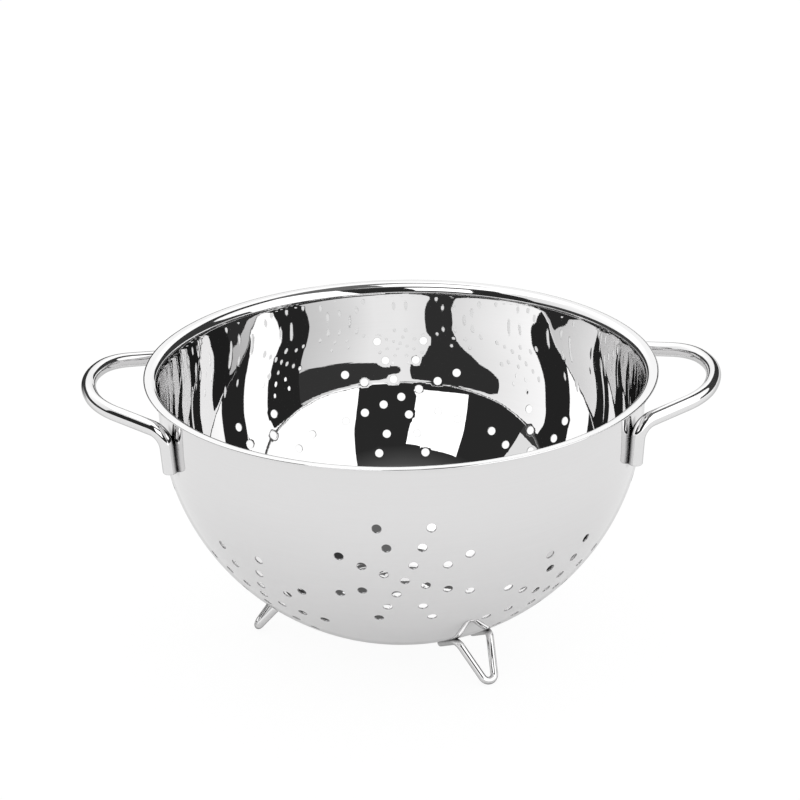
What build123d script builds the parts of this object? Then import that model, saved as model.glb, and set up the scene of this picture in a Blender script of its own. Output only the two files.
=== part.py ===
from build123d import *
from math import acos, cos, degrees, radians, sin, sqrt, tan
import os

# Kitchen colander: a deep-drawn stainless bowl with its rim turned out flat, punched with stars of
# drain holes, two bent-rod handles and three bent-wire feet, all welded to the outside of the bowl.
# Millimetres. Origin on the table under the bowl's centre, +Z up, handles along X, front is -Y.

# Bowl, as drawn from sheet; the base margin is the flat left round the base's own star of holes
sheet = 0.6
rim_radius = 120.0
rim_edge_radius = 0.2
flange_width = 5.8
neck_radius = 2.8
wall_height = 18.0
wall_draft = 1.6
corner_radius = 40.4
base_margin = 0.25

# Stars of drain holes: angles place their centres below the body's own centre and round the bowl
hole_radius = 2.05
inner_ring_radius = 9.9
middle_ring_radius = 20.4
outer_ring_radius = 31.0
spoke_count = 8
short_spoke_count = 4
star_turn = 22.5
upper_star_angle = 21.1
lower_star_angle = 35.5
upper_star_azimuths = (0, 90, 180, 270)
lower_star_azimuths = (44, 136, 224, 316)
punch_overrun = 2.0

# Handles, bent from rod; the weld depth is how far the rod is pressed flat in its weld on the wall
handle_rod_radius = 3.5
handle_half_angle = 24.1
stub_top_depth = 11.6
stub_end_depth = 31.3
stub_seat_depth = 22.0
stub_lean = 4.0
stub_end_rounding = 0.8
handle_bend_radius = 9.0
handle_corner_out = 32.2
handle_corner_half_width = 28.6
handle_corner_radius = 29.6
handle_point_out = 42.3
handle_bow_radius = 51.6
handle_tilt = 9.8
handle_weld_depth = 0.8

# Feet, bent from wire and pressed flat in their welds in the same way
foot_wire_radius = 1.8
front_foot_azimuth = 32.6
back_foot_azimuth = 151.2
left_foot_azimuth = 270.0
foot_half_spacing = 9.1
foot_tab_in = 8.4
foot_tab_out = 7.3
foot_bend_radius = 4.2
foot_lean = 37.9
foot_splay = 16.2
foot_tip_radius = 3.5
foot_weld_depth = 1.4

# Section of the bowl's outside, with the rim's top at height zero; the body is part of a sphere
wall_radius = rim_radius - flange_width
neck_x = wall_radius + neck_radius * cos(radians(wall_draft))
neck_drop = neck_radius * (1 - sin(radians(wall_draft)))
body_start_x = wall_radius - wall_height * tan(radians(wall_draft))
body_start_y = -sheet - neck_drop - wall_height
body_radius = body_start_x / cos(radians(wall_draft))
body_centre_y = body_start_y + body_radius * sin(radians(wall_draft))

# The flat base takes a whole star, and the corner joins it to the body
star_radius = outer_ring_radius + hole_radius
base_radius = star_radius + base_margin
corner_angle = degrees(acos(base_radius / (body_radius - corner_radius)))
corner_start_x = body_radius * cos(radians(corner_angle))
corner_start_y = body_centre_y - body_radius * sin(radians(corner_angle))
base_y = corner_start_y - corner_radius * (1 - sin(radians(corner_angle)))

# Foot in its own radial section: the tabs lie on the underside where the body meets the corner
underside_slope = 90 - corner_angle
tab_lift = foot_wire_radius - foot_weld_depth
tab_seat_x = corner_start_x + tab_lift * sin(radians(underside_slope))
tab_seat_y = corner_start_y - tab_lift * cos(radians(underside_slope))
tab_end_x = tab_seat_x - foot_tab_in * cos(radians(underside_slope))
tab_end_y = tab_seat_y - foot_tab_in * sin(radians(underside_slope))
foot_bend_x = tab_seat_x + foot_tab_out * cos(radians(underside_slope))
foot_bend_y = tab_seat_y + foot_tab_out * sin(radians(underside_slope))
leg_length = foot_half_spacing / tan(radians(foot_splay))
tip_cut_back = foot_tip_radius * (1 / sin(radians(foot_splay)) - 1)
foot_point_x = foot_bend_x + leg_length * sin(radians(foot_lean))
foot_point_y = foot_bend_y - leg_length * cos(radians(foot_lean))
foot_tip_y = foot_point_y + tip_cut_back * cos(radians(foot_lean))

# The feet stand on the table, which sets the rim's height
rim_height = foot_wire_radius - foot_tip_y
section_plane = Plane(origin=(0, 0, rim_height), x_dir=(1, 0, 0), z_dir=(0, -1, 0))


def outer_skin():
    """Draws the bowl's outside, from the rim's edge to the axis."""
    flange = Line((rim_radius, -sheet), (neck_x, -sheet))
    neck = JernArc(flange @ 1, flange % 1, neck_radius, 90 - wall_draft)
    wall = Line(neck @ 1, (body_start_x, body_start_y))
    body = JernArc(wall @ 1, wall % 1, body_radius, wall_draft - corner_angle)
    corner = JernArc(body @ 1, body % 1, corner_radius, corner_angle - 90)
    Line(corner @ 1, (0, base_y))


def wall_plane(angle, azimuth):
    """Places a plane on the body, facing out, at an angle below its centre and round the bowl."""
    out = Vector(sin(radians(azimuth)), -cos(radians(azimuth)), 0)
    side = Vector(cos(radians(azimuth)), sin(radians(azimuth)), 0)
    down = Vector(0, 0, -1)
    facing = out * cos(radians(angle)) + down * sin(radians(angle))
    centre = Vector(0, 0, rim_height + body_centre_y)
    return Plane(origin=centre + facing * body_radius, x_dir=side, z_dir=facing)


# Star planes: four high on the wall, four lower down between them, and one under the base
star_planes = [wall_plane(upper_star_angle, azimuth) for azimuth in upper_star_azimuths]
star_planes += [wall_plane(lower_star_angle, azimuth) for azimuth in lower_star_azimuths]
star_planes += [Plane(origin=(0, 0, rim_height + base_y), z_dir=(0, 0, -1))]

# A punch starts outside its plane and ends past the sheet, which curves away towards a star's rim
sheet_fall = body_radius - sqrt((body_radius - sheet) ** 2 - star_radius**2)
punch_stroke = punch_overrun + sheet_fall + punch_overrun

# Solid shape of the bowl's outside, which beds the rods and wires into their welds
with BuildPart() as bowl_envelope:
    with BuildSketch(section_plane):
        with BuildLine():
            outer_skin()
            Polyline((0, base_y), (0, 0), (rim_radius, 0), (rim_radius, -sheet))
        make_face()
    revolve(axis=Axis.Z)

# Bowl
with BuildPart() as bowl:
    with BuildSketch(section_plane) as section:
        with BuildLine():
            outer_skin()
            offset(amount=sheet, side=Side.RIGHT)
        make_face()
        rim_corners = section.vertices().group_by(Axis.X)[-1]
        fillet(rim_corners, radius=rim_edge_radius)
    revolve(axis=Axis.Z)
    for star_plane in star_planes:
        with BuildSketch(star_plane.offset(punch_overrun)):
            Circle(hole_radius)
            with PolarLocations(inner_ring_radius, short_spoke_count, start_angle=90 - star_turn):
                Circle(hole_radius)
            with PolarLocations(middle_ring_radius, spoke_count, start_angle=star_turn):
                Circle(hole_radius)
            with PolarLocations(outer_ring_radius, spoke_count, start_angle=star_turn):
                Circle(hole_radius)
        extrude(amount=-punch_stroke, mode=Mode.SUBTRACT)
bowl.part.label = "bowl"

# Handle in plan and height: the stubs lean with the wall, and the loop rises as it leaves them
stub_gap = handle_rod_radius - handle_weld_depth
stub_seat_x = wall_radius - (stub_seat_depth - sheet) * tan(radians(wall_draft)) + stub_gap
stub_rise = tan(radians(stub_lean))
stub_top_radius = stub_seat_x + (stub_seat_depth - stub_top_depth) * stub_rise
stub_end_radius = stub_seat_x - (stub_end_depth - stub_seat_depth) * stub_rise
loop_rise = tan(radians(handle_tilt))


def handle_points(side):
    """Returns the corners of a handle's centreline, for the left side (-1) or the right (1)."""
    def on_wall(radius, depth, half):
        angle = radians(handle_half_angle)
        return (side * radius * cos(angle), half * radius * sin(angle), rim_height - depth)

    def on_loop(out, width):
        x = stub_top_radius * cos(radians(handle_half_angle)) + out
        return (side * x, width, rim_height - stub_top_depth + out * loop_rise)

    return [
        on_wall(stub_end_radius, stub_end_depth, -1),
        on_wall(stub_top_radius, stub_top_depth, -1),
        on_loop(handle_corner_out, -handle_corner_half_width),
        on_loop(handle_point_out, 0),
        on_loop(handle_corner_out, handle_corner_half_width),
        on_wall(stub_top_radius, stub_top_depth, 1),
        on_wall(stub_end_radius, stub_end_depth, 1),
    ]


handle_radii = [
    handle_bend_radius,
    handle_corner_radius,
    handle_bow_radius,
    handle_corner_radius,
    handle_bend_radius,
]

# Handles
handles = {}
for handle_name, side in (("left_handle", -1), ("right_handle", 1)):
    with BuildPart() as handle:
        with BuildLine():
            handle_path = FilletPolyline(*handle_points(side), radius=handle_radii)
        with BuildSketch(Plane(origin=handle_path @ 0, z_dir=handle_path % 0)):
            Circle(handle_rod_radius)
        sweep(path=handle_path)
        stub_ends = handle.edges().group_by(Axis.Z)[0]
        fillet(stub_ends, radius=stub_end_rounding)
        add(bowl_envelope.part, mode=Mode.SUBTRACT)
    handle.part.label = handle_name
    handles[handle_name] = handle.part

# Feet
foot_azimuths = {
    "front_foot": front_foot_azimuth,
    "back_foot": back_foot_azimuth,
    "left_foot": left_foot_azimuth,
}
feet = {}
for foot_name, azimuth in foot_azimuths.items():
    foot_out = (sin(radians(azimuth)), -cos(radians(azimuth)), 0)
    foot_plane = Plane(origin=(0, 0, rim_height), x_dir=foot_out, z_dir=(0, 0, 1))
    with BuildPart() as foot:
        with BuildLine(foot_plane):
            foot_path = FilletPolyline(
                (tab_end_x, -foot_half_spacing, tab_end_y),
                (foot_bend_x, -foot_half_spacing, foot_bend_y),
                (foot_point_x, 0, foot_point_y),
                (foot_bend_x, foot_half_spacing, foot_bend_y),
                (tab_end_x, foot_half_spacing, tab_end_y),
                radius=[foot_bend_radius, foot_tip_radius, foot_bend_radius],
            )
        with BuildSketch(Plane(origin=foot_path @ 0, z_dir=foot_path % 0)):
            Circle(foot_wire_radius)
        sweep(path=foot_path)
        add(bowl_envelope.part, mode=Mode.SUBTRACT)
    foot.part.label = foot_name
    feet[foot_name] = foot.part

os.makedirs("parts", exist_ok=True)
export_step(bowl.part, "parts/bowl.step")
for handle_name, handle_part in handles.items():
    export_step(handle_part, f"parts/{handle_name}.step")
for foot_name, foot_part in feet.items():
    export_step(foot_part, f"parts/{foot_name}.step")
print("rim height", round(rim_height, 2), "base height", round(rim_height + base_y, 2))
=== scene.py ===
"""Studio scene of a polished steel colander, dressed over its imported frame."""
import logging
import math
from dataclasses import dataclass, field
from enum import Enum

import bpy
import numpy as np
from mathutils import Matrix, Vector
from mathutils.geometry import delaunay_2d_cdt


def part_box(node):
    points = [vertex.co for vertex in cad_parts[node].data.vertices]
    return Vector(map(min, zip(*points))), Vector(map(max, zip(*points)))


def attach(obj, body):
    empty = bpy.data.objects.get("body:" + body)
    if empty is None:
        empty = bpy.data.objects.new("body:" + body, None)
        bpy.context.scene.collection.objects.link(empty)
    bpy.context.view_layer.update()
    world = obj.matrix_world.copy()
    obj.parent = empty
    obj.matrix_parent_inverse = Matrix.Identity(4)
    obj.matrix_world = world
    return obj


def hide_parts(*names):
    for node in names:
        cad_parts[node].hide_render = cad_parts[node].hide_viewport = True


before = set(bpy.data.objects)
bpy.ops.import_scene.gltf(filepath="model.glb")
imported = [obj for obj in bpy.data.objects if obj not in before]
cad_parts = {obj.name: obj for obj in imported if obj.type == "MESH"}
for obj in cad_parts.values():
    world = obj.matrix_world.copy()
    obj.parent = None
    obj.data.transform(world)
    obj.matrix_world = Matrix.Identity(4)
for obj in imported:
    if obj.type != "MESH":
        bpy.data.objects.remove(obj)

LOG = logging.getLogger("colander")
MM = 0.001
FULL_TURN = 2.0 * math.pi
MERGE_STEP = 1e-7
FILL_STEP = 1e-9
CARD_STEP = 1e-6
WHITE = (1.0, 1.0, 1.0, 1.0)


class Finish(Enum):
    """The surfaces of the bowl, in the order of its material slots."""

    OUTSIDE = 0
    INSIDE = 1
    RIM = 2
    PUNCHED_EDGE = 3


class Skin(Enum):
    """The two faces of the sheet, with the sign that its normals take from the outward one."""

    OUTER = 1.0
    INNER = -1.0


FACES = ((Skin.OUTER, Finish.OUTSIDE), (Skin.INNER, Finish.INSIDE))


class Fade(Enum):
    """The way a studio card's brightness changes: along its azimuth or its elevation."""

    ACROSS = 0
    UPWARDS = 1


def put_in_scene(name: str, data: bpy.types.ID) -> bpy.types.Object:
    """Returns a new object of the scene that shows a mesh or holds a camera."""
    made = bpy.data.objects.new(name, data)
    bpy.context.scene.collection.objects.link(made)
    return made


class MeshParts:
    """Collects the points, normals and faces of one piece, and joins them into one mesh."""

    def __init__(self) -> None:
        """Starts with nothing collected."""
        self.points: list[np.ndarray] = []
        self.normals: list[np.ndarray] = []
        self.faces: list[np.ndarray] = []
        self.slots: list[np.ndarray] = []
        self.count = 0

    def add(self, points: np.ndarray, normals: np.ndarray, faces: np.ndarray, slot: int = 0) -> None:
        """Adds a patch.

        Args:
            points: Vertices, one row each.
            normals: The exact surface normal at each vertex.
            faces: Corner indices, four to a face; a triangle repeats its last corner.
            slot: The material slot of the patch.
        """
        self.points.append(points)
        self.normals.append(normals)
        self.faces.append(faces + self.count)
        self.slots.append(np.full(len(faces), slot))
        self.count += len(points)

    def add_grid(self, points: np.ndarray, normals: np.ndarray, closed: bool, slot: int = 0) -> None:
        """Adds a grid of quads.

        Args:
            points: Vertices by row and column.
            normals: Normals by row and column.
            closed: Whether the last column joins the first.
            slot: The material slot of the grid.
        """
        rows, columns = points.shape[:2]
        index = np.arange(rows * columns).reshape(rows, columns)
        if closed:
            index = np.hstack([index, index[:, :1]])
        corners = [index[:-1, :-1], index[:-1, 1:], index[1:, 1:], index[1:, :-1]]
        faces = np.stack([corner.ravel() for corner in corners], axis=1)
        self.add(points.reshape(-1, 3), normals.reshape(-1, 3), faces, slot)

    def build(self, name: str, materials: list[bpy.types.Material]) -> bpy.types.Object:
        """Joins the patches where they meet and makes the object.

        Args:
            name: The piece's name.
            materials: One material for each slot.

        Returns:
            The new object, smooth, with the collected normals.
        """
        points = np.vstack(self.points)
        normals = np.vstack(self.normals)
        faces = np.vstack(self.faces)
        slots = np.concatenate(self.slots)
        keys = np.round(points / MERGE_STEP).astype(np.int64)
        _, first, joined = np.unique(keys, axis=0, return_index=True, return_inverse=True)
        joined = joined.ravel()
        summed = np.zeros((len(first), 3))
        np.add.at(summed, joined, normals)
        summed /= np.linalg.norm(summed, axis=1)[:, None]
        places = points[first]
        faces = joined[faces]
        across = places[faces[:, 2]] - places[faces[:, 0]]
        along = places[faces[:, 3]] - places[faces[:, 1]]
        thin = faces[:, 3] == faces[:, 2]
        along[thin] = places[faces[thin, 2]] - places[faces[thin, 1]]
        turned = (np.cross(across, along) * summed[faces].mean(axis=1)).sum(axis=1) < 0
        faces[turned] = faces[turned][:, ::-1]
        polygons = []
        kept = []
        for row, slot in zip(faces.tolist(), slots.tolist()):
            corners = list(dict.fromkeys(row))
            if len(corners) > 2:
                polygons.append(corners)
                kept.append(slot)
        mesh = bpy.data.meshes.new(name)
        mesh.from_pydata(places.tolist(), [], polygons)
        for material in materials:
            mesh.materials.append(material)
        mesh.polygons.foreach_set("material_index", kept)
        mesh.polygons.foreach_set("use_smooth", [True] * len(polygons))
        mesh.update()
        mesh.normals_split_custom_set_from_vertices(summed.tolist())
        return put_in_scene(name, mesh)


@dataclass(frozen=True)
class StarPattern:
    """One punched star: a hole at the centre and three rings of holes around it."""

    hole_radius: float = 2.05 * MM
    inner_ring_radius: float = 9.9 * MM
    middle_ring_radius: float = 20.4 * MM
    outer_ring_radius: float = 31.0 * MM
    spokes: int = 8
    short_spokes: int = 4
    turn: float = math.radians(22.5)

    def centres(self) -> list[tuple[float, float]]:
        """Returns the hole centres in the star's own plane."""
        found = [(0.0, 0.0)]
        rings = (
            (self.inner_ring_radius, self.short_spokes, math.pi / 2 - self.turn),
            (self.middle_ring_radius, self.spokes, self.turn),
            (self.outer_ring_radius, self.spokes, self.turn),
        )
        for radius, count, start in rings:
            for step in range(count):
                angle = start + FULL_TURN * step / count
                found.append((radius * math.cos(angle), radius * math.sin(angle)))
        return found


@dataclass(frozen=True)
class PunchFrame:
    """Where one star's punch works: its axes, seen from outside the bowl."""

    side: np.ndarray
    up: np.ndarray
    facing: np.ndarray
    flat: bool = False


@dataclass(frozen=True)
class PunchEdge:
    """The rounding that the punch leaves at the two ends of a hole, and the slope of the dished sheet."""

    entry_rounding: float = 0.20 * MM
    exit_rounding: float = 0.10 * MM
    dish: float = 0.04
    arc_steps: int = 4
    sides: int = 32

    def angles(self) -> np.ndarray:
        """Returns the angles of the points round a hole."""
        return FULL_TURN * np.arange(self.sides) / self.sides


@dataclass
class Bowl:
    """The deep-drawn bowl: sizes of its section, its stars of holes and its rim."""

    rim_radius: float
    rim_height: float
    sheet: float = 0.6 * MM
    flange_width: float = 5.8 * MM
    rim_edge_radius: float = 0.28 * MM
    rim_roll: float = 0.5 * MM
    rim_roll_slope: float = math.radians(45)
    neck_radius: float = 2.8 * MM
    wall_height: float = 18.0 * MM
    wall_draft: float = math.radians(1.6)
    corner_radius: float = 40.4 * MM
    base_radius: float = 33.3 * MM
    upper_star_angle: float = math.radians(21.1)
    lower_star_angle: float = math.radians(35.5)
    upper_star_azimuths: tuple[float, ...] = (0, 90, 180, 270)
    lower_star_azimuths: tuple[float, ...] = (44, 136, 224, 316)
    star: StarPattern = field(default_factory=StarPattern)
    edge: PunchEdge = field(default_factory=PunchEdge)
    neck_ease: float = 4.2 * MM
    body_ease: float = 7.0 * MM
    columns: int = 300
    wall_rows: int = 25
    neck_rows: int = 19
    corner_rows: int = 10
    edge_rows: int = 5
    least_ring: int = 8
    grid_gap: float = 0.3
    seam: float = math.radians(67.5)

    @classmethod
    def from_frame(cls) -> "Bowl":
        """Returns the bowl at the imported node's rim radius and height."""
        low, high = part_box("bowl")
        return cls(rim_radius=(high.x - low.x) / 2, rim_height=high.z)

    def __post_init__(self) -> None:
        """Works out the section: a drafted wall, a sphere tangent to it, a corner arc and a flat."""
        draft = self.wall_draft
        self.wall_radius = self.rim_radius - self.flange_width
        neck_drop = self.neck_radius * (1 - math.sin(draft))
        self.wall_top_z = self.rim_height - self.sheet - neck_drop
        self.wall_end_z = self.wall_top_z - self.wall_height
        wall_end_radius = self.wall_radius - self.wall_height * math.tan(draft)
        self.body_radius = wall_end_radius / math.cos(draft)
        self.body_z = self.wall_end_z + self.body_radius * math.sin(draft)
        self.corner_angle = math.acos(self.base_radius / (self.body_radius - self.corner_radius))
        corner_reach = self.body_radius - self.corner_radius
        self.corner_z = self.body_z - corner_reach * math.sin(self.corner_angle)
        self.base_z = self.corner_z - self.corner_radius
        self.neck_end = self.wall_radius + self.neck_radius * math.cos(draft)
        self.angles = self.seam + FULL_TURN * np.arange(self.columns) / self.columns

    def inset(self, skin: Skin) -> float:
        """Returns how far a face lies inside the bowl's outside."""
        return 0.0 if skin is Skin.OUTER else self.sheet

    def eased_slope(self, slope: float, travel: float, skin: Skin) -> float:
        """Softens the drawn sheet's turns where the straight wall meets the neck and the body.

        Args:
            slope: The exact slope of the section, in radians from plumb.
            travel: The distance down the wall from the neck; negative within the neck.
            skin: Which face of the sheet.

        Returns:
            The slope that the surface is shaded with.
        """
        bend = self.neck_radius + self.inset(skin)
        reach = self.neck_ease if skin is Skin.INNER else self.neck_ease / 2
        if abs(travel) < reach:
            return self.wall_draft + (reach - travel) ** 2 / (4 * reach * bend)
        past = travel - self.wall_height
        if abs(past) < self.body_ease:
            return self.wall_draft + (past + self.body_ease) ** 2 / (4 * self.body_ease * self.body_radius)
        return slope

    def flatten(self, points: np.ndarray, depth: float) -> np.ndarray:
        """Presses a welded rod flat: no point stays deeper than a depth inside the bowl's outside.

        Args:
            points: Points of the rod's surface.
            depth: How deep a point may lie in the sheet.

        Returns:
            The points, the deep ones moved out to that depth.
        """
        pressed = points.copy()
        centre = np.array([0.0, 0.0, self.body_z])
        reach = np.hypot(points[:, 0], points[:, 1])
        fall = np.arctan2(self.body_z - points[:, 2], reach)
        wall = self.wall_radius - (self.wall_top_z - points[:, 2]) * math.tan(self.wall_draft) - depth
        deep = (fall <= self.wall_draft) & (reach < wall)
        pressed[deep, :2] *= (wall[deep] / reach[deep])[:, None]
        away = points - centre
        length = np.linalg.norm(away, axis=1)
        deep = (fall > self.wall_draft) & (fall <= self.corner_angle) & (length < self.body_radius - depth)
        pressed[deep] = centre + away[deep] * ((self.body_radius - depth) / length[deep])[:, None]
        out, rise = reach - self.base_radius, points[:, 2] - self.corner_z
        length = np.hypot(out, rise)
        deep = (fall > self.corner_angle) & (out > 0) & (length < self.corner_radius - depth)
        scale = (self.corner_radius - depth) / length[deep]
        pressed[deep, :2] *= ((self.base_radius + out[deep] * scale) / reach[deep])[:, None]
        pressed[deep, 2] = self.corner_z + rise[deep] * scale
        return pressed

    def punch_frames(self) -> list[PunchFrame]:
        """Returns the frames of all stars, the one under the base last."""
        frames = []
        places = [(self.upper_star_angle, azimuth) for azimuth in self.upper_star_azimuths]
        places += [(self.lower_star_angle, azimuth) for azimuth in self.lower_star_azimuths]
        for angle, azimuth in places:
            around = math.radians(azimuth)
            out = np.array([math.sin(around), -math.cos(around), 0.0])
            side = np.array([math.cos(around), math.sin(around), 0.0])
            facing = out * math.cos(angle) - np.array([0.0, 0.0, math.sin(angle)])
            frames.append(PunchFrame(side, np.cross(facing, side), facing))
        base_side = np.array([-1.0, 0.0, 0.0])
        base_facing = np.array([0.0, 0.0, -1.0])
        frames.append(PunchFrame(base_side, np.cross(base_facing, base_side), base_facing, True))
        return frames

    def lift(self, punch: PunchFrame, u: np.ndarray, v: np.ndarray, skin: Skin) -> tuple:
        """Finds the sheet's face under points of a star's plane.

        Args:
            punch: The star's frame.
            u: Distances along its side axis.
            v: Distances along its up axis.
            skin: Which face of the sheet.

        Returns:
            The points and the face's normals there.
        """
        inset = self.inset(skin)
        flat = u[:, None] * punch.side + v[:, None] * punch.up
        if punch.flat:
            points = flat + np.array([0.0, 0.0, self.base_z + inset])
            normals = np.tile(punch.facing * skin.value, (len(u), 1))
            return points, normals
        radius = self.body_radius - inset
        depth = np.sqrt(radius**2 - u**2 - v**2)
        away = flat + depth[:, None] * punch.facing
        return away + np.array([0.0, 0.0, self.body_z]), away / radius * skin.value

    def ring(self, radius: float, height: float, out: float, rise: float) -> tuple:
        """Returns the points and normals of one ring round the bowl's axis.

        Args:
            radius: The ring's radius.
            height: Its height above the table.
            out: The normal's share away from the axis.
            rise: The normal's share upwards.
        """
        away = np.stack([np.sin(self.angles), -np.cos(self.angles), np.zeros(self.columns)], axis=1)
        up = np.array([0.0, 0.0, 1.0])
        return away * radius + up * height, away * out + up * rise

    def revolve(self, parts: MeshParts, rows: list[tuple], finish: Finish) -> None:
        """Turns section points into a closed band.

        Args:
            parts: The mesh under construction.
            rows: Radius, height and normal of each section point.
            finish: The band's finish.
        """
        rings = [self.ring(*row) for row in rows]
        points = np.stack([ring[0] for ring in rings])
        normals = np.stack([ring[1] for ring in rings])
        parts.add_grid(points, normals, closed=True, slot=finish.value)

    def arc_rows(
        self, centre: tuple, radius: float, start: float, end: float, steps: int, sign: float
    ) -> list:
        """Returns section points along an arc.

        Args:
            centre: The arc's centre, as radius and height.
            radius: The arc's radius.
            start: Its first direction, in radians up from straight out.
            end: Its last direction.
            steps: How many spans it has.
            sign: 1 where the surface faces away from the arc's centre, and -1 where it faces it.
        """
        rows = []
        for angle in np.linspace(start, end, steps + 1):
            out, rise = math.cos(angle), math.sin(angle)
            rows.append((centre[0] + radius * out, centre[1] + radius * rise, sign * out, sign * rise))
        return rows

    def spokes(self, punch: PunchFrame) -> np.ndarray:
        """Returns the directions from a hole's centre to the points round it."""
        around = self.edge.angles()
        return np.cos(around)[:, None] * punch.side + np.sin(around)[:, None] * punch.up

    def hole_ring(self, punch: PunchFrame, centre: tuple[float, float], reach: float, skin: Skin) -> tuple:
        """Finds a circle round a hole on one face of the sheet.

        Args:
            punch: The star's frame.
            centre: The hole's centre in the star's plane.
            reach: The circle's radius.
            skin: Which face of the sheet.

        Returns:
            The circle's points and the face's normals there.
        """
        around = self.edge.angles()
        return self.lift(punch, centre[0] + reach * np.cos(around), centre[1] + reach * np.sin(around), skin)

    def hole_loops(self, punch: PunchFrame, skin: Skin) -> list[tuple]:
        """Returns the rim of each hole of a star on one face, as points and normals."""
        rounding = self.edge.entry_rounding if skin is Skin.OUTER else self.edge.exit_rounding
        dished = self.spokes(punch) * self.edge.dish * skin.value
        rings = [self.hole_ring(punch, centre, self.star.hole_radius + rounding, skin)
                 for centre in self.star.centres()]
        return [(points, normals - dished) for points, normals in rings]

    def fill(self, parts: MeshParts, chart: np.ndarray, points: np.ndarray, normals: np.ndarray,
             loops: list[tuple], loop_charts: list[np.ndarray], finish: Finish) -> None:
        """Fills a face with triangles between its grid points and the rims of its holes.

        Args:
            parts: The mesh under construction.
            chart: The grid points in the plane of the chart.
            points: The same points on the surface.
            normals: Their normals.
            loops: Points and normals of each hole's rim.
            loop_charts: Each hole's rim in the chart.
            finish: The face's finish.
        """
        flat = [chart] + loop_charts
        solid = [points] + [loop[0] for loop in loops]
        faced = [normals] + [loop[1] for loop in loops]
        owner = [np.full(len(chart), -1)]
        edges = []
        start = len(chart)
        for number, loop in enumerate(loop_charts):
            count = len(loop)
            owner.append(np.full(count, number))
            edges += [(start + k, start + (k + 1) % count) for k in range(count)]
            start += count
        owner = np.concatenate(owner)
        corners = [Vector(corner) for corner in np.vstack(flat).tolist()]
        _, _, triangles, origins, _, _ = delaunay_2d_cdt(corners, edges, [], 0, FILL_STEP)
        source = np.array([origin[0] for origin in origins])
        faces = source[np.array(triangles)]
        owners = owner[faces]
        inside = (owners[:, 0] >= 0) & (owners[:, 0] == owners[:, 1]) & (owners[:, 1] == owners[:, 2])
        faces = faces[~inside]
        faces = np.hstack([faces, faces[:, 2:]])
        parts.add(np.vstack(solid), np.vstack(faced), faces, finish.value)

    def clear_of_holes(self, points: np.ndarray, frames: list[PunchFrame], gap: float) -> np.ndarray:
        """Tells which grid points keep a gap from every hole."""
        clear = np.ones(len(points), bool)
        reach = self.star.hole_radius + self.edge.entry_rounding + gap
        for punch in frames:
            away = points - np.array([0.0, 0.0, self.body_z])
            near = away @ punch.facing > 0
            u, v = away @ punch.side, away @ punch.up
            for centre_u, centre_v in self.star.centres():
                clear &= ~(near & (np.hypot(u - centre_u, v - centre_v) < reach))
        return clear

    def body_face(self, parts: MeshParts, skin: Skin, finish: Finish) -> None:
        """Makes one face of the spherical body, with the rims of its holes cut in."""
        radius = self.body_radius - self.inset(skin)
        spacing = FULL_TURN * self.body_radius / self.columns
        first, last = self.wall_draft, self.corner_angle
        rows = int(round((last - first) * radius / spacing))
        falls = np.linspace(first, last, rows + 1)
        points, normals, chart = [], [], []
        for fall in falls:
            slope = self.eased_slope(fall, self.wall_height + (fall - first) * radius, skin)
            ring, facing = self.ring(radius * math.cos(fall), self.body_z - radius * math.sin(fall),
                                     math.cos(slope) * skin.value, -math.sin(slope) * skin.value)
            points.append(np.vstack([ring, ring[:1]]))
            normals.append(np.vstack([facing, facing[:1]]))
            across = self.seam + FULL_TURN * np.arange(self.columns + 1) / self.columns
            chart.append(np.stack([across, np.full(self.columns + 1, fall)], axis=1))
        points, normals, chart = np.vstack(points), np.vstack(normals), np.vstack(chart)
        frames = [punch for punch in self.punch_frames() if not punch.flat]
        kept = self.clear_of_holes(points, frames, self.grid_gap * spacing)
        loops = [loop for punch in frames for loop in self.hole_loops(punch, skin)]
        loop_charts = [self.body_chart(loop[0]) for loop in loops]
        self.fill(parts, chart[kept], points[kept], normals[kept], loops, loop_charts, finish)

    def body_chart(self, points: np.ndarray) -> np.ndarray:
        """Returns the azimuth from the seam and the fall below the body's centre of each point."""
        azimuth = np.arctan2(points[:, 0], -points[:, 1])
        azimuth = self.seam + np.mod(azimuth - self.seam, FULL_TURN)
        fall = np.arctan2(self.body_z - points[:, 2], np.hypot(points[:, 0], points[:, 1]))
        return np.stack([azimuth, fall], axis=1)

    def base_face(self, parts: MeshParts, skin: Skin, finish: Finish) -> None:
        """Makes one face of the flat base, with the rims of its star's holes cut in."""
        height = self.base_z + self.inset(skin)
        rings = [self.ring(self.base_radius, height, 0.0, -skin.value)[0]]
        spacing = FULL_TURN * self.body_radius / self.columns
        radius = self.base_radius - spacing
        while radius > spacing:
            count = max(self.least_ring, int(FULL_TURN * radius / spacing))
            around = FULL_TURN * np.arange(count) / count
            rings.append(np.stack([radius * np.sin(around), -radius * np.cos(around),
                                   np.full(count, height)], axis=1))
            radius -= spacing
        points = np.vstack(rings)
        normals = np.tile([0.0, 0.0, -skin.value], (len(points), 1))
        frames = [punch for punch in self.punch_frames() if punch.flat]
        kept = self.clear_of_holes(points, frames, self.grid_gap * spacing)
        kept[:self.columns] = True
        loops = [loop for punch in frames for loop in self.hole_loops(punch, skin)]
        loop_charts = [loop[0][:, :2] for loop in loops]
        self.fill(parts, points[kept][:, :2], points[kept], normals[kept], loops, loop_charts, finish)

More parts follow.
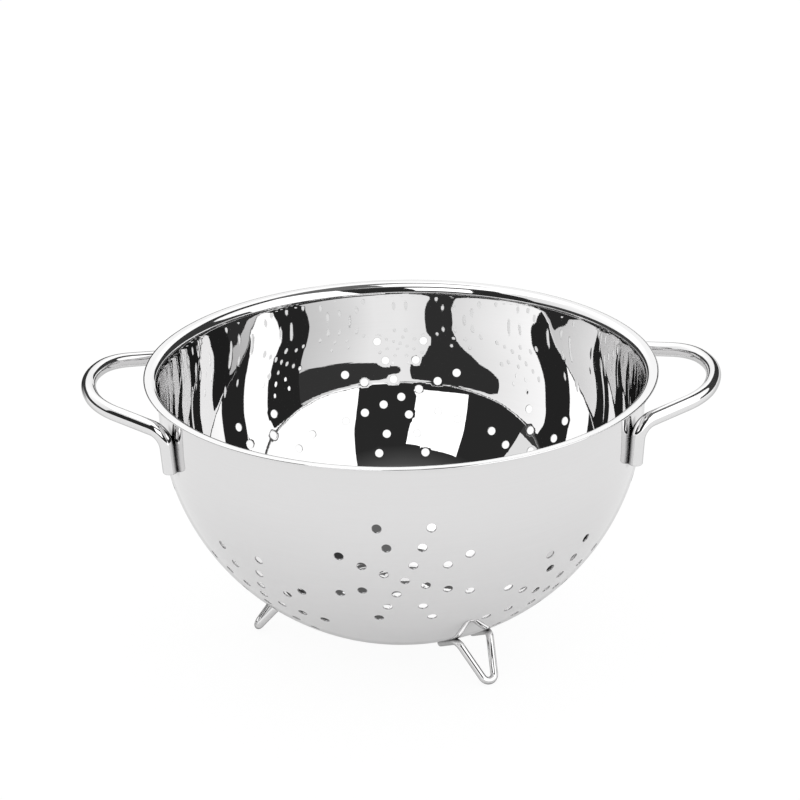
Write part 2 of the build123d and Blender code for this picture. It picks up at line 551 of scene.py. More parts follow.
    def hole_walls(self, parts: MeshParts) -> None:
        """Makes the wall of each hole, rounded into both faces of the sheet."""
        turns = np.linspace(0.0, math.pi / 2, self.edge.arc_steps + 1)
        ends = (
            (Skin.OUTER, self.edge.entry_rounding, turns),
            (Skin.INNER, self.edge.exit_rounding, turns[::-1]),
        )
        for punch in self.punch_frames():
            spokes = self.spokes(punch)
            for centre in self.star.centres():
                points, normals = [], []
                for skin, rounding, steps in ends:
                    for turn in steps:
                        reach = self.star.hole_radius + rounding * (1 - math.sin(turn))
                        ring, facing = self.hole_ring(punch, centre, reach, skin)
                        sink = rounding * (1 - math.cos(turn)) * skin.value
                        points.append(ring - punch.facing * sink)
                        normals.append(facing * math.cos(turn) - spokes * math.sin(turn))
                parts.add_grid(np.stack(points), np.stack(normals), True, Finish.PUNCHED_EDGE.value)

    def wall_bands(self, parts: MeshParts) -> None:
        """Makes both faces of the drafted wall."""
        lean, drop = math.cos(self.wall_draft), -math.sin(self.wall_draft)
        for skin, finish in FACES:
            inset = self.inset(skin)
            radius = self.body_radius - inset
            low = (radius * lean, self.body_z + radius * drop)
            high = (self.wall_radius - inset * lean, self.wall_top_z + inset * -drop)
            rows = []
            for share in np.linspace(0.0, 1.0, self.wall_rows):
                slope = self.eased_slope(self.wall_draft, self.wall_height * (1 - share), skin)
                rows.append((low[0] + (high[0] - low[0]) * share, low[1] + (high[1] - low[1]) * share,
                             math.cos(slope) * skin.value, -math.sin(slope) * skin.value))
            self.revolve(parts, rows, finish)

    def neck_bands(self, parts: MeshParts) -> None:
        """Makes both faces of the neck, which turns the wall out into the flange."""
        draft, centre_z = self.wall_draft, self.rim_height - self.sheet - self.neck_radius
        for skin in Skin:
            reach = self.neck_radius + self.inset(skin)
            rows = []
            for turn in np.linspace(draft, math.pi / 2, self.neck_rows):
                slope = min(self.eased_slope(turn, (draft - turn) * reach, skin), math.pi / 2)
                rows.append((self.neck_end - reach * math.cos(turn), centre_z + reach * math.sin(turn),
                             math.cos(slope) * skin.value, -math.sin(slope) * skin.value))
            self.revolve(parts, rows, Finish.RIM)

    def flange_bands(self, parts: MeshParts) -> None:
        """Makes the flat flange and its cut edge, which rolls over softly at the top."""
        edge, roll = self.rim_edge_radius, self.rim_roll_slope
        top, under = self.rim_height, self.rim_height - self.sheet
        out = self.rim_radius - edge
        flat_end = out - self.rim_roll
        rows = [(self.neck_end, top, 0, 1), (flat_end, top, 0, 1), (out, top, math.sin(roll), math.cos(roll))]
        self.revolve(parts, rows, Finish.RIM)
        rows = []
        for turn in np.linspace(math.pi / 2, 0.0, self.edge_rows + 1):
            tilt = turn * (1 - 2 * roll / math.pi)
            rows.append((out + edge * math.cos(turn), top - edge + edge * math.sin(turn),
                         math.cos(tilt), math.sin(tilt)))
        rows += self.arc_rows((out, under + edge), edge, 0.0, -math.pi / 2, self.edge_rows, 1.0)
        self.revolve(parts, rows, Finish.RIM)
        self.revolve(parts, [(out, under, 0, -1), (self.neck_end, under, 0, -1)], Finish.RIM)

    def corner_bands(self, parts: MeshParts) -> None:
        """Makes the corner between the body and the base, on both faces."""
        centre = (self.base_radius, self.corner_z)
        for skin, finish in FACES:
            radius = self.corner_radius - self.inset(skin)
            turns = (-self.corner_angle, -math.pi / 2)
            rows = self.arc_rows(centre, radius, *turns, self.corner_rows, skin.value)
            self.revolve(parts, rows, finish)

    def build(self, materials: list[bpy.types.Material]) -> bpy.types.Object:
        """Builds the whole bowl and puts it in the place of its node."""
        parts = MeshParts()
        self.wall_bands(parts)
        self.neck_bands(parts)
        self.flange_bands(parts)
        for skin, finish in FACES:
            self.body_face(parts, skin, finish)
        self.corner_bands(parts)
        for skin, finish in FACES:
            self.base_face(parts, skin, finish)
        self.hole_walls(parts)
        piece = parts.build("polished_bowl", materials)
        return place(piece, "bowl")


@dataclass
class BentRod:
    """A round rod or wire bent along a route of straight runs and arcs."""

    bowl: Bowl
    radius: float
    corners: list[Vector]
    bend_radii: list[float]
    end_rounding: float
    sides: int = 48
    arc_step: float = math.radians(2.5)
    run_step: float = 2.0 * MM
    end_steps: int = 5
    end_clearance: float = 1.5
    sunk: float = 0.2 * MM

    def stations(self) -> list[tuple[Vector, Vector]]:
        """Returns points and directions along the centreline."""
        found = []
        last = self.corners[0]
        for index, bend in enumerate(self.bend_radii, start=1):
            corner = self.corners[index]
            before = (corner - self.corners[index - 1]).normalized()
            after = (self.corners[index + 1] - corner).normalized()
            turn = before.angle(after)
            cut = bend * math.tan(turn / 2)
            inward = (after - before * math.cos(turn)) / math.sin(turn)
            start = corner - before * cut
            found += self.run(last, start, before)
            steps = max(2, math.ceil(turn / self.arc_step))
            for step in range(1, steps + 1):
                angle = turn * step / steps
                point = start + before * (bend * math.sin(angle)) + inward * (bend * (1 - math.cos(angle)))
                found.append((point, before * math.cos(angle) + inward * math.sin(angle)))
            last = found[-1][0]
        found += self.run(last, self.corners[-1], after)[1:]
        return found

    def run(self, start: Vector, end: Vector, ahead: Vector) -> list[tuple[Vector, Vector]]:
        """Returns stations along a straight run in a known direction, both ends included."""
        steps = max(1, math.ceil((end - start).length / self.run_step))
        return [(start.lerp(end, step / steps), ahead) for step in range(steps + 1)]

    def build(self, name: str, material: bpy.types.Material) -> bpy.types.Object:
        """Sweeps the round section along the centreline and rounds both ends.

        Args:
            name: The piece's name.
            material: Its finish.

        Returns:
            The new object.
        """
        stations = self.unique(self.stations())
        around = FULL_TURN * np.arange(self.sides) / self.sides
        side = stations[0][1].orthogonal().normalized()
        points, normals = [], []
        previous = stations[0][1]
        frames = []
        for point, ahead in stations:
            side = previous.rotation_difference(ahead) @ side
            side = (side - ahead * side.dot(ahead)).normalized()
            frames.append((point, ahead, side))
            previous = ahead
        for position, (point, ahead, side) in enumerate(frames):
            other = ahead.cross(side)
            spokes = np.outer(np.cos(around), side) + np.outer(np.sin(around), other)
            if position in (0, len(frames) - 1):
                sign = -1.0 if position == 0 else 1.0
                turns = np.linspace(0.0, math.pi / 2, self.end_steps + 1)
                rings = []
                for turn in turns:
                    reach = self.radius - self.end_rounding * (1 - math.cos(turn))
                    back = self.end_rounding * (1 - math.sin(turn))
                    shift = np.array(ahead) * sign
                    rings.append((np.array(point) - shift * back + spokes * reach,
                                  spokes * math.cos(turn) + shift * math.sin(turn)))
                cap = np.tile(np.array(point), (self.sides, 1))
                rings.append((cap, np.tile(shift, (self.sides, 1))))
                ordered = rings[::-1] if position == 0 else rings
                points += [ring[0] for ring in ordered]
                normals += [ring[1] for ring in ordered]
            else:
                points.append(np.array(point) + spokes * self.radius)
                normals.append(spokes)
        points = [self.bowl.flatten(ring, self.sunk) for ring in points]
        parts = MeshParts()
        parts.add_grid(np.stack(points), np.stack(normals), closed=True)
        return parts.build(name, [material])

    def unique(self, stations: list[tuple[Vector, Vector]]) -> list[tuple[Vector, Vector]]:
        """Drops stations that repeat the one before, and those inside the end roundings."""
        kept = [stations[0]]
        ends = (stations[0][0], stations[-1][0])
        for station in stations[1:-1]:
            step = (station[0] - kept[-1][0]).length
            from_ends = min((station[0] - end).length for end in ends)
            if step > MERGE_STEP * 10 and from_ends > self.end_rounding * self.end_clearance:
                kept.append(station)
        return kept + [stations[-1]]


@dataclass
class Handle:
    """One bent-rod handle: two stubs on the wall and a loop that rises away from it."""

    bowl: Bowl
    side: int
    rod_radius: float = 3.5 * MM
    half_angle: float = math.radians(24.1)
    stub_top_depth: float = 11.6 * MM
    stub_end_depth: float = 31.3 * MM
    stub_seat_depth: float = 22.0 * MM
    stub_lean: float = math.radians(4.0)
    stub_end_rounding: float = 0.8 * MM
    bend_radius: float = 9.0 * MM
    corner_out: float = 32.2 * MM
    corner_half_width: float = 28.6 * MM
    corner_radius: float = 29.6 * MM
    point_out: float = 42.3 * MM
    bow_radius: float = 51.6 * MM
    tilt: float = math.radians(9.8)
    weld_depth: float = 0.8 * MM

    def corners(self) -> list[Vector]:
        """Returns the corners of the centreline, from one stub's end to the other's."""
        bowl = self.bowl
        seat = bowl.wall_radius - (self.stub_seat_depth - bowl.sheet) * math.tan(bowl.wall_draft)
        seat += self.rod_radius - self.weld_depth
        rise = math.tan(self.stub_lean)
        top_radius = seat + (self.stub_seat_depth - self.stub_top_depth) * rise
        end_radius = seat - (self.stub_end_depth - self.stub_seat_depth) * rise
        route = [
            self.on_wall(end_radius, self.stub_end_depth, -1),
            self.on_wall(top_radius, self.stub_top_depth, -1),
            self.on_loop(top_radius, self.corner_out, -self.corner_half_width),
            self.on_loop(top_radius, self.point_out, 0.0),
            self.on_loop(top_radius, self.corner_out, self.corner_half_width),
            self.on_wall(top_radius, self.stub_top_depth, 1),
            self.on_wall(end_radius, self.stub_end_depth, 1),
        ]
        return route

    def on_wall(self, radius: float, depth: float, half: int) -> Vector:
        """Returns a point of a stub, on the near half (-1) or the far one (1)."""
        x = self.side * radius * math.cos(self.half_angle)
        y = half * radius * math.sin(self.half_angle)
        return Vector((x, y, self.bowl.rim_height - depth))

    def on_loop(self, top_radius: float, out: float, width: float) -> Vector:
        """Returns a point of the loop, by its distance out from the stubs and its place across."""
        x = self.side * (top_radius * math.cos(self.half_angle) + out)
        return Vector((x, width, self.bowl.rim_height - self.stub_top_depth + out * math.tan(self.tilt)))

    def build(self, name: str, node: str, material: bpy.types.Material) -> bpy.types.Object:
        """Builds the handle and puts it in the place of its node."""
        radii = [self.bend_radius, self.corner_radius, self.bow_radius, self.corner_radius, self.bend_radius]
        rod = BentRod(self.bowl, self.rod_radius, self.corners(), radii, self.stub_end_rounding)
        return place(rod.build(name, material), node)


@dataclass
class Foot:
    """One bent-wire foot: two tabs on the underside and a V that leans out to its point."""

    bowl: Bowl
    azimuth: float
    wire_radius: float = 1.8 * MM
    half_spacing: float = 9.1 * MM
    tab_in: float = 8.4 * MM
    tab_out: float = 7.3 * MM
    bend_radius: float = 4.2 * MM
    lean: float = math.radians(37.9)
    splay: float = math.radians(16.2)
    tip_radius: float = 3.5 * MM
    weld_depth: float = 1.4 * MM
    end_rounding: float = 0.25 * MM

    def corners(self) -> list[Vector]:
        """Returns the corners of the centreline, from one tab's end to the other's."""
        bowl = self.bowl
        slope = math.pi / 2 - bowl.corner_angle
        lift = bowl.body_radius + self.wire_radius - self.weld_depth
        seat = (lift * math.cos(bowl.corner_angle), bowl.body_z - lift * math.sin(bowl.corner_angle))
        end = (seat[0] - self.tab_in * math.cos(slope), seat[1] - self.tab_in * math.sin(slope))
        bend = (seat[0] + self.tab_out * math.cos(slope), seat[1] + self.tab_out * math.sin(slope))
        leg = self.half_spacing / math.tan(self.splay)
        point = (bend[0] + leg * math.sin(self.lean), bend[1] - leg * math.cos(self.lean))
        half = self.half_spacing
        section = [(end, -half), (bend, -half), (point, 0.0), (bend, half), (end, half)]
        return [self.turned(out, height, across) for (out, height), across in section]

    def turned(self, out: float, height: float, across: float) -> Vector:
        """Returns a point of the foot, turned to the foot's azimuth."""
        away = Vector((math.sin(self.azimuth), -math.cos(self.azimuth), 0.0))
        along = Vector((math.cos(self.azimuth), math.sin(self.azimuth), 0.0))
        return away * out + along * across + Vector((0.0, 0.0, height))

    def build(self, name: str, node: str, material: bpy.types.Material) -> bpy.types.Object:
        """Builds the foot and puts it in the place of its node."""
        radii = [self.bend_radius, self.tip_radius, self.bend_radius]
        wire = BentRod(self.bowl, self.wire_radius, self.corners(), radii, self.end_rounding, sides=32)
        return place(wire.build(name, material), node)


def place(piece: bpy.types.Object, node: str) -> bpy.types.Object:
    """Lets a piece ride the frame in the place of its node.

    Args:
        piece: The finished piece.
        node: The node that it stands for.

    Returns:
        The same piece.
    """
    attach(piece, "root")
    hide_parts(node)
    LOG.info("%s stands for %s, %d faces", piece.name, node, len(piece.data.polygons))
    return piece


class NodeSheet:
    """A tree of shader nodes, filled node by node."""

    def __init__(self, tree: bpy.types.NodeTree) -> None:
        """Takes the tree to fill."""
        self.tree = tree

    @classmethod
    def of_material(cls, name: str) -> tuple["NodeSheet", bpy.types.Material]:
        """Returns the empty sheet of a new material, and the material."""
        made = bpy.data.materials.new(name)
        made.use_nodes = True
        made.node_tree.nodes.clear()
        return cls(made.node_tree), made

    def add(self, kind: str, values: dict | None = None, **options: object) -> bpy.types.Node:
        """Adds a node.

        Args:
            kind: The node's type, without the words that all shader nodes start with.
            values: What goes into its inputs, by name or number: a value, or another node's output.
            options: Its options, such as its operation.

        Returns:
            The new node.
        """
        node = self.tree.nodes.new("ShaderNode" + kind)
        for option, choice in options.items():
            setattr(node, option, choice)
        for label, value in (values or {}).items():
            if isinstance(value, bpy.types.NodeSocket):
                self.tree.links.new(value, node.inputs[label])
            else:
                node.inputs[label].default_value = value
        return node

    def multiply(self, colour: bpy.types.NodeSocket, factor: bpy.types.NodeSocket) -> bpy.types.NodeSocket:
        """Returns a colour times a factor."""
        values = {"Factor": 1.0, "A": colour, "B": factor}
        return self.add("Mix", values, data_type="RGBA", blend_type="MULTIPLY").outputs["Result"]

    def remap(self, value: bpy.types.NodeSocket, low: float, high: float,
              start: float = 0.0, end: float = 1.0) -> bpy.types.NodeSocket:
        """Moves a value from one range to another, and keeps it within that.

        Args:
            value: The value's socket.
            low: The value that becomes start.
            high: The value that becomes end.
            start: The first end of the new range.
            end: Its other end.

        Returns:
            The socket of the moved value.
        """
        values = {"Value": value, "From Min": low, "From Max": high, "To Min": start, "To Max": end}
        return self.add("MapRange", values).outputs["Result"]


def new_group(name: str, inputs: list[tuple], outputs: list[tuple]) -> bpy.types.NodeTree:
    """Starts a shader node group.

    Args:
        name: The group's name.
        inputs: Name, socket type and default value of each input.
        outputs: Name and socket type of each output.

    Returns:
        The group, with its input and output nodes.
    """
    group = bpy.data.node_groups.new(name, "ShaderNodeTree")
    for label, kind, value in inputs:
        socket = group.interface.new_socket(name=label, in_out="INPUT", socket_type=kind)
        if value is not None:
            socket.default_value = value
    for label, kind in outputs:
        group.interface.new_socket(name=label, in_out="OUTPUT", socket_type=kind)
    group.nodes.new("NodeGroupInput").name = "In"
    group.nodes.new("NodeGroupOutput").name = "Out"
    return group


@dataclass(frozen=True)
class SheetWaves:
    """The gentle waves of pressed and polished metal."""

    detail: float = 2.0
    roughness: float = 0.45

    def group(self) -> bpy.types.NodeTree:
        """Builds the group that gives the waves as a normal."""
        group = new_group(
            "Sheet waves",
            [("Scale", "NodeSocketFloat", 30.0), ("Height", "NodeSocketFloat", 0.00002)],
            [("Normal", "NodeSocketVector")],
        )
        sheet = NodeSheet(group)
        given, result = group.nodes["In"].outputs, group.nodes["Out"].inputs
        spot = sheet.add("TexCoord").outputs["Object"]
        noise = sheet.add("TexNoise", {
            "Vector": spot, "Scale": given["Scale"], "Detail": self.detail, "Roughness": self.roughness,
        })
        values = {"Strength": 1.0, "Height": noise.outputs["Fac"], "Distance": given["Height"]}
        bump = sheet.add("Bump", values)
        group.links.new(bump.outputs["Normal"], result["Normal"])
        return group


@dataclass(frozen=True)
class PolishMarks:
    """The marks in the polish: fine streaks round the bowl, and smudges from handling."""

    streak_stretch: float = 900.0
    streak_spread: float = 1.6
    streak_scale: float = 2.0
    streak_detail: float = 4.0
    streak_tones: tuple[float, float] = (0.975, 1.01)
    smudge_scale: float = 26.0
    smudge_detail: float = 5.0
    smudge_range: tuple[float, float] = (0.52, 0.72)

    def group(self) -> bpy.types.NodeTree:
        """Builds the group that gives the marks as a colour, a roughness and a normal."""
        group = new_group(
            "Polish lines",
            [
                ("Colour", "NodeSocketColor", (0.8, 0.8, 0.8, 1.0)),
                ("Roughness", "NodeSocketFloat", 0.03),
                ("Smudge Roughness", "NodeSocketFloat", 0.08),
                ("Line Height", "NodeSocketFloat", 0.000001),
                ("Normal", "NodeSocketVector", None),
            ],
            [("Colour", "NodeSocketColor"), ("Roughness", "NodeSocketFloat"), ("Normal", "NodeSocketVector")],
        )
        sheet = NodeSheet(group)
        given, result = group.nodes["In"].outputs, group.nodes["Out"].inputs
        spot = sheet.add("TexCoord").outputs["Object"]
        streaks = self.streaks(sheet, spot)
        bump = sheet.add("Bump", {
            "Strength": 1.0, "Height": streaks, "Distance": given["Line Height"], "Normal": given["Normal"],
        })
        values = {"Vector": spot, "Scale": self.smudge_scale, "Detail": self.smudge_detail}
        smudge = sheet.add("TexNoise", values)
        mask = sheet.remap(smudge.outputs["Fac"], *self.smudge_range)
        values = {"Factor": mask, "A": given["Roughness"], "B": given["Smudge Roughness"]}
        rough = sheet.add("Mix", values, data_type="FLOAT")
        tone = sheet.remap(streaks, 0.0, 1.0, *self.streak_tones)
        group.links.new(sheet.multiply(given["Colour"], tone), result["Colour"])
        group.links.new(rough.outputs["Result"], result["Roughness"])
        group.links.new(bump.outputs["Normal"], result["Normal"])
        return group

    def streaks(self, sheet: NodeSheet, spot: bpy.types.NodeSocket) -> bpy.types.NodeSocket:
        """Adds noise drawn out round the axis.

        Args:
            sheet: The group's nodes.
            spot: The place on the surface.

        Returns:
            The noise, from 0 to 1.
        """
        parts = sheet.add("SeparateXYZ", {"Vector": spot}).outputs
        flat = sheet.add("CombineXYZ", {"X": parts["X"], "Y": parts["Y"]}).outputs["Vector"]
        around = sheet.add("VectorMath", {0: flat}, operation="NORMALIZE").outputs["Vector"]
        reach = sheet.add("VectorMath", {0: flat}, operation="LENGTH").outputs["Value"]
        level = sheet.add("Math", {0: parts["Z"], 1: reach}, operation="SUBTRACT").outputs["Value"]
        drawn = sheet.add("Math", {0: level, 1: self.streak_stretch}, operation="MULTIPLY").outputs["Value"]
        lift = sheet.add("CombineXYZ", {"Z": drawn}).outputs["Vector"]
        values = {0: around, 1: (self.streak_spread,) * 3, 2: lift}
        stretched = sheet.add("VectorMath", values, operation="MULTIPLY_ADD").outputs["Vector"]
        values = {"Vector": stretched, "Scale": self.streak_scale, "Detail": self.streak_detail}
        return sheet.add("TexNoise", values).outputs["Fac"]


@dataclass(frozen=True)
class Polish:
    """A polished steel finish: its colour, how even its polish is, and the painted shade at its edges.

    Its reach and tone along the silhouette paint shade where it turns away from the eye, and its crease
    values paint shade in the creases beside welds.
    """

    name: str
    colour: tuple[float, float, float]
    roughness: float
    smudge_roughness: float
    wave_height: float
    wave_scale: float
    line_height: float
    # Painted shade along the silhouettes: how far in from the edge it reaches, and how dark it gets there.
    silhouette_shade_reach: float = 0.12
    silhouette_shade_tone: float = 0.55
    # Painted shade in the creases beside welds: how dark it gets, how far the occlusion looks, the occlusion
    # range it spans, and its samples.
    crease_shade_tone: float = 1.0
    crease_shade_reach: float = 2.5 * MM
    crease_shade_range: tuple[float, float] = (0.25, 0.95)
    crease_shade_samples: int = 6

    def material(self, waves: bpy.types.NodeTree, marks: bpy.types.NodeTree) -> bpy.types.Material:
        """Builds the finish as a material.

        Args:
            waves: The group that gives the sheet's gentle waves.
            marks: The group that gives polishing streaks and smudges.

        Returns:
            The new material.
        """
        sheet, made = NodeSheet.of_material(self.name)
        wave = sheet.add("Group", {"Scale": self.wave_scale, "Height": self.wave_height}, node_tree=waves)
        mark = sheet.add("Group", {
            "Colour": (*self.colour, 1.0), "Roughness": self.roughness,
            "Smudge Roughness": self.smudge_roughness, "Line Height": self.line_height,
            "Normal": wave.outputs["Normal"],
        }, node_tree=marks).outputs
        # Painted shade: the colour darkens where the surface turns away from the eye, drawing a dark line
        # along the silhouettes.
        facing = sheet.add("LayerWeight").outputs["Facing"]
        tone = sheet.remap(facing, 1.0 - self.silhouette_shade_reach, 1.0, 1.0, self.silhouette_shade_tone)
        colour = sheet.multiply(mark["Colour"], tone)
        # Painted shade: ambient occlusion darkens the colour in the creases beside welds, wherever parts come
        # close.
        if self.crease_shade_tone < 1.0:
            near = sheet.add("AmbientOcclusion", {"Distance": self.crease_shade_reach}, samples=self.crease_shade_samples)
            tone = sheet.remap(near.outputs["AO"], *self.crease_shade_range, self.crease_shade_tone, 1.0)
            colour = sheet.multiply(colour, tone)
        shader = sheet.add("BsdfPrincipled", {
            "Metallic": 1.0, "Base Color": colour, "Roughness": mark["Roughness"], "Normal": mark["Normal"],
        })
        sheet.add("OutputMaterial", {"Surface": shader.outputs["BSDF"]})
        return made


@dataclass(frozen=True)
class StudioCard:
    """A softbox, flag or wall round the object, seen only in its reflections.

    Its corners are azimuth and elevation in degrees, seen from the mouth of the bowl, and go round
    its outline. Azimuth 0 is towards the camera and 90 to the camera's right. Its tones are places
    along its fade, in the same degrees, and the brightness there, where 1 is white.
    """

    name: str
    distance: float
    tones: tuple[tuple[float, float], ...]
    corners: tuple[tuple[float, float], ...]
    fade: Fade = Fade.ACROSS
    step: float = 4.0

    def outline(self) -> np.ndarray:
        """Returns the corners with points between them, no further apart than the step."""
        points = []
        for start, end in zip(self.corners, self.corners[1:] + self.corners[:1]):
            start, end = np.array(start), np.array(end)
            count = max(1, math.ceil(np.abs(end - start).max() / self.step))
            points += [start + (end - start) * share / count for share in range(count)]
        return np.array(points)

    def offset(self, spot: Vector) -> Vector:
        """Returns the place of a spot of the card, from the mouth of the bowl."""
        around, rise = math.radians(spot[0]), math.radians(spot[1])
        level = math.cos(rise)
        return Vector((math.sin(around) * level, -math.cos(around) * level, math.sin(rise))) * self.distance

    def build(self, centre: Vector) -> bpy.types.Object:
        """Builds the card as a curved sheet at its distance from the centre."""
        edge = self.outline()
        low, high = edge.min(axis=0), edge.max(axis=0)
        across = np.arange(low[0] + self.step / 2, high[0], self.step)
        upwards = np.arange(low[1] + self.step / 2, high[1], self.step)
        inner = np.stack([mesh.ravel() for mesh in np.meshgrid(across, upwards)], axis=1)
        corners = [Vector(corner) for corner in np.vstack([edge, inner]).tolist()]
        places, _, faces, _, _, _ = delaunay_2d_cdt(corners, [], [list(range(len(edge)))], 1, CARD_STEP)
        points = [centre + self.offset(spot) for spot in places]
        mesh = bpy.data.meshes.new(self.name)
        mesh.from_pydata(points, [], faces)
        stops, levels = zip(*self.tones)
        tone = mesh.attributes.new("tone", "FLOAT", "POINT")
        along = [spot[self.fade.value] for spot in places]
        tone.data.foreach_set("value", np.interp(along, stops, levels).tolist())
        mesh.materials.append(glow(self.name))
        card = put_in_scene(self.name, mesh)
        for rays in ("camera", "diffuse", "shadow", "transmission", "volume_scatter"):
            setattr(card, "visible_" + rays, False)
        return card


@dataclass(frozen=True)
class CeilingCard(StudioCard):
    """A level card over the object: its corners are in metres, and its distance is its height."""

    step: float = 0.2

    def offset(self, spot: Vector) -> Vector:
        """Returns the place of a spot of the card, from the mouth of the bowl."""
        return Vector((spot[0], spot[1], self.distance))


def glow(name: str) -> bpy.types.Material:
    """Returns a material that shines with the tone stored in its mesh, where 1 is white."""
    sheet, made = NodeSheet.of_material(name)
    tone = sheet.add("Attribute", attribute_name="tone")
    light = sheet.add("Emission", {"Strength": tone.outputs["Fac"]})
    sheet.add("OutputMaterial", {"Surface": light.outputs["Emission"]})
    return made


@dataclass
class Studio:
    """The white room: floor, world, soft light and the cards that the polish reflects."""

    mouth: Vector
    sky_brightness: float = 1.15
    floor_albedo: float = 0.80
    floor_white: float = 1.03
    camera_shadow_share: float = 0.10
    glossy_shadow_share: float = 0.72
    floor_size: float = 30.0
    cards: tuple[StudioCard, ...] = (
        StudioCard(
            "window_softbox", 0.69, ((0, 1.75),),
            ((-38.3, 13.7), (-28, 14.4), (-8.8, 14.2), (-7.5, 26), (-6, 31), (-4, 38), (-2.7, 44), (-13, 45),
             (-14, 46.3), (-43, 46), (-41, 34), (-39.5, 24)),
        ),
        StudioCard(
            "overhead_shade", 0.70, ((45, 0.03), (50, 0.055), (56, 0.10), (61, 0.25)),
            ((-64, 45), (36, 45), (39.5, 51), (48, 60), (20, 61), (-30, 61), (-72, 58)),
            Fade.UPWARDS,
        ),
        CeilingCard(
            "ceiling_strip", 0.80, ((0, 0.16),),
            ((0.08, -0.40), (0.40, -0.40), (0.44, 0.24), (0.47, 0.43), (0.40, 0.49), (0.30, 0.45),
             (-0.16, 0.45), (-0.15, 0.36), (-0.13, 0.30), (-0.07, 0.24), (0.0, 0.18), (0.02, 0.11),
             (0.09, 0.06), (0.075, -0.03)),
        ),
        CeilingCard(
            "ceiling_softbox", 0.85, ((0.38, 1.65), (0.48, 1.38)),
            ((-0.55, -0.45), (0.60, -0.45), (0.60, 0.48), (-0.55, 0.48)),
            Fade.UPWARDS,
        ),
        StudioCard(
            "camera_side_flag", 0.71, ((0, 0.028),),
            ((-78, 3), (20, 3), (23, 12), (25.5, 20), (28, 27), (30.5, 32), (33, 38), (37, 47), (-64, 47),
             (-71, 40), (-74, 35), (-74.5, 26), (-75, 20), (-76, 14)),
        ),
        StudioCard(
            "right_back_flag", 0.92, ((0, 0.045),),
            ((78, 3), (171, 3), (171, 11), (169.5, 15.5), (165, 16.3), (162, 18.5), (158, 23), (154, 28),
             (149.5, 34), (147.5, 38), (146.5, 40.5), (148.5, 43), (149.7, 48), (150, 66), (102, 66),
             (108, 56), (114, 50), (117.5, 44), (119, 39), (117, 34), (112, 29), (106, 25), (100, 20.5),
             (92, 18.5), (82, 15.3), (80, 10)),
        ),
        StudioCard(
            "left_back_flag", 0.92, ((0, 0.055),),
            ((-183, 3), (-70, 3), (-70, 21), (-90, 22), (-105, 21.5), (-122, 20.5), (-140, 19),
             (-156, 17.2), (-160, 15.5), (-168, 14), (-178, 12), (-183, 10)),
        ),
        StudioCard(
            "left_back_table", 0.44, ((-172, 0.95), (-152, 0.05), (-130, 0.05), (-112, 0.95)),
            ((-172, -12), (-112, -12), (-112, 3), (-172, 3)),
        ),
        StudioCard(
            "right_wall", 2.5, ((25, 1.62), (115, 1.20)),
            ((18, -3), (120, -3), (120, 80), (18, 80)),
        ),
        StudioCard(
            "left_wall", 2.5,
            ((-240, 1.22), (-205, 1.30), (-180, 1.36), (-150, 1.34), (-125, 1.15), (-80, 0.95)),
            ((-240, -3), (-70, -3), (-70, 80), (-240, 80)),
        ),
    )

    def floor_material(self) -> bpy.types.Material:
        """Returns the floor: white to the camera, with a share of the real light that keeps the shadow."""
        sheet, made = NodeSheet.of_material("white_floor")
        lit = sheet.add("BsdfDiffuse", {"Color": (self.floor_albedo,) * 3 + (1.0,)})
        white = sheet.add("Emission", {"Strength": self.floor_white})
        seen = sheet.add("LightPath").outputs["Is Camera Ray"]
        share = sheet.remap(seen, 0.0, 1.0, self.glossy_shadow_share, self.camera_shadow_share)
        blend = sheet.add("MixShader", {"Fac": share, 1: white.outputs["Emission"], 2: lit.outputs["BSDF"]})
        sheet.add("OutputMaterial", {"Surface": blend.outputs["Shader"]})
        return made

    def build_floor(self) -> bpy.types.Object:
        """Builds the floor that the feet stand on."""
        half = self.floor_size / 2
        corners = [(-half, -half, 0), (half, -half, 0), (half, half, 0), (-half, half, 0)]
        mesh = bpy.data.meshes.new("floor")
        mesh.from_pydata(corners, [], [(0, 1, 2, 3)])
        mesh.materials.append(self.floor_material())
        floor = put_in_scene("floor", mesh)
        return floor

    def build_world(self) -> None:
        """Sets the world: white to the camera, and an even soft light to everything else."""
        world = bpy.data.worlds.new("white_room")
        bpy.context.scene.world = world
        world.use_nodes = True
        world.node_tree.nodes.clear()
        sheet = NodeSheet(world.node_tree)
        light = sheet.add("Background", {"Color": WHITE, "Strength": self.sky_brightness})
        plain = sheet.add("Background", {"Color": WHITE})
        seen = sheet.add("LightPath").outputs["Is Camera Ray"]
        values = {"Fac": seen, 1: light.outputs["Background"], 2: plain.outputs["Background"]}
        blend = sheet.add("MixShader", values)
        sheet.add("OutputWorld", {"Surface": blend.outputs["Shader"]})

    def build(self) -> None:
        """Builds the floor, the world and the cards."""
        self.build_floor()
        self.build_world()
        for card in self.cards:
            card.build(self.mouth)


@dataclass(frozen=True)
class PhotoCamera:
    """The camera of the product picture, fitted to the rim, the holes and the feet."""

    elevation: float = math.radians(22.36)
    roll: float = math.radians(-1.087)
    aside: float = 0.385 * MM
    above: float = 15.931 * MM
    distance: float = 1174.57 * MM
    focal_pixels: float = 2513.7
    picture_pixels: float = 800.0
    sensor: float = 36.0

    def build(self, target: Vector) -> bpy.types.Object:
        """Places the camera and makes it the scene's camera.

        Args:
            target: The centre of the rim, which the camera's offsets are measured from.
        """
        ahead = Vector((0.0, math.cos(self.elevation), -math.sin(self.elevation)))
        level = Vector((1.0, 0.0, 0.0))
        up = Vector((0.0, math.sin(self.elevation), math.cos(self.elevation)))
        right = level * math.cos(self.roll) + up * math.sin(self.roll)
        top = up * math.cos(self.roll) - level * math.sin(self.roll)
        data = bpy.data.cameras.new("photo_camera")
        data.sensor_width = self.sensor
        data.lens = self.focal_pixels / self.picture_pixels * self.sensor
        camera = put_in_scene("photo_camera", data)
        spot = target - right * self.aside - top * self.above - ahead * self.distance
        turn = Matrix((right, top, -ahead)).transposed().to_4x4()
        camera.matrix_world = Matrix.Translation(spot) @ turn
        bpy.context.scene.camera = camera
        return camera


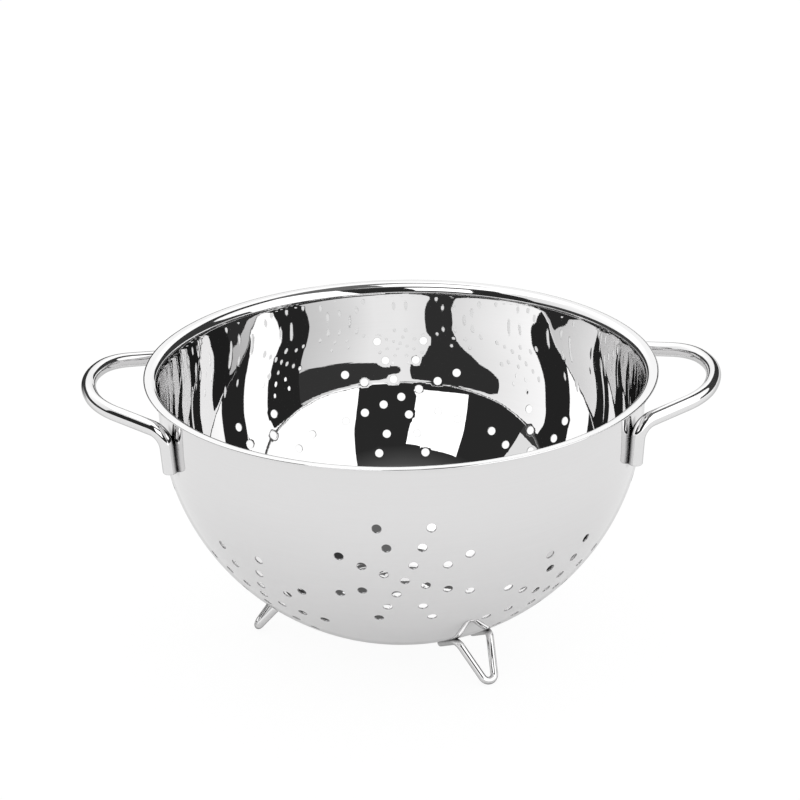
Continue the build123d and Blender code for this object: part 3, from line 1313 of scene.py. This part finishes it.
@dataclass
class Finishes:
    """All polished finishes of the colander."""

    # Where given, the numbers after the line height paint shade: reach and tone along the silhouettes, then
    # the tone in the creases beside welds.
    outside: Polish = Polish("outside_polish", (0.78, 0.775, 0.777), 0.03, 0.06, 0.00003, 28.0, 0.0000008,
                             0.16, 0.10, 0.35)
    inside: Polish = Polish("inside_polish", (0.775, 0.773, 0.774), 0.008, 0.02, 0.00011, 32.0, 0.0000016,
                            0.05, 0.8)
    rim: Polish = Polish("rim_polish", (0.80, 0.798, 0.80), 0.03, 0.06, 0.00002, 40.0, 0.0000008, 0.45, 0.05)
    punched: Polish = Polish("punched_edge", (0.45, 0.448, 0.45), 0.16, 0.25, 0.000004, 300.0, 0.000002)
    rod: Polish = Polish("rod_polish", (0.80, 0.798, 0.80), 0.035, 0.08, 0.00001, 60.0, 0.000001,
                         0.5, 0.12, 0.25)
    wire: Polish = Polish("wire_polish", (0.78, 0.778, 0.78), 0.05, 0.10, 0.000006, 90.0, 0.000001,
                          0.6, 0.10, 0.25)

    def build(self) -> dict[str, bpy.types.Material]:
        """Returns the finished materials by the name of their place."""
        waves, marks = SheetWaves().group(), PolishMarks().group()
        places = ("outside", "inside", "rim", "punched", "rod", "wire")
        return {name: getattr(self, name).material(waves, marks) for name in places}


def main() -> None:
    """Builds the camera, the colander and its studio in order."""
    logging.basicConfig(level=logging.INFO, format="%(name)s: %(message)s")
    scene = bpy.context.scene
    scene.view_settings.view_transform = "Standard"
    scene.cycles.max_bounces = 16
    scene.cycles.glossy_bounces = 12
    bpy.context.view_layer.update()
    bowl = Bowl.from_frame()
    PhotoCamera().build(Vector((0.0, 0.0, bowl.rim_height)))
    finishes = Finishes().build()
    bowl.build([finishes[name] for name in ("outside", "inside", "rim", "punched")])
    for name, node, side in (("left_loop", "left_handle", -1), ("right_loop", "right_handle", 1)):
        Handle(bowl, side).build(name, node, finishes["rod"])
    feet = (("front_wire_foot", "front_foot", 32.6), ("back_wire_foot", "back_foot", 151.2),
            ("left_wire_foot", "left_foot", 270.0))
    for name, node, azimuth in feet:
        Foot(bowl, math.radians(azimuth)).build(name, node, finishes["wire"])
    Studio(Vector((0.0, 0.0, bowl.rim_height))).build()


if __name__ == "__main__":
    main()
